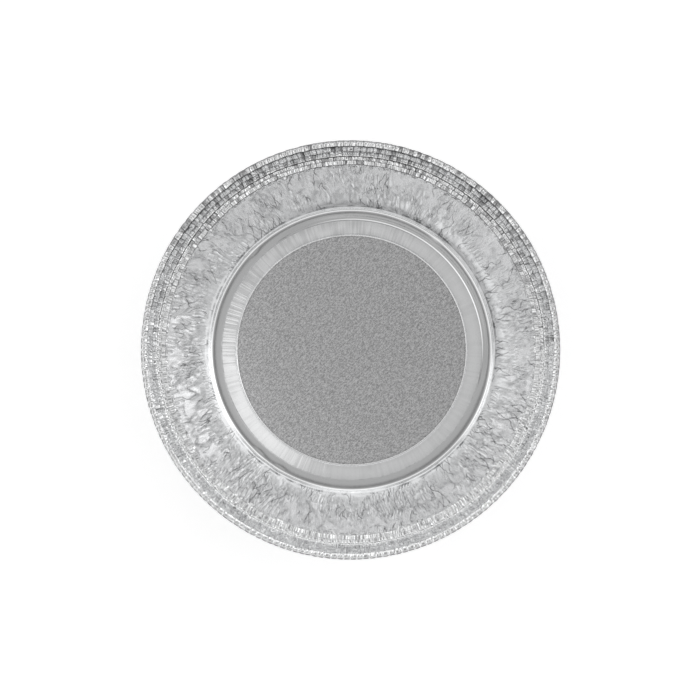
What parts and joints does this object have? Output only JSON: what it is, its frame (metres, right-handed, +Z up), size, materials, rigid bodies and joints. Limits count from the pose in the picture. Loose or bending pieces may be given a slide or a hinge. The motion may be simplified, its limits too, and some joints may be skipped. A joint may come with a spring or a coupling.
{
  "type": "round foil pan",
  "caption": "Round aluminium foil take-away pan with a raised centre panel, a bevel, a pleated flaring wall, a lid ledge and a rolled rim.",
  "frame": {"origin": "centre of the pan at the plane of the ring that it stands on", "axes": "+Z up along the pan's own axis, out of its mouth; the pan is round, and +X and +Y are level"},
  "size_m": [0.184, 0.184, 0.044],
  "materials": {
    "foil": "bright rolled foil, satin in the centre panel"
  },
  "bodies": {
    "root": {"foil_pan": "foil"}
  },
  "joints": []
}
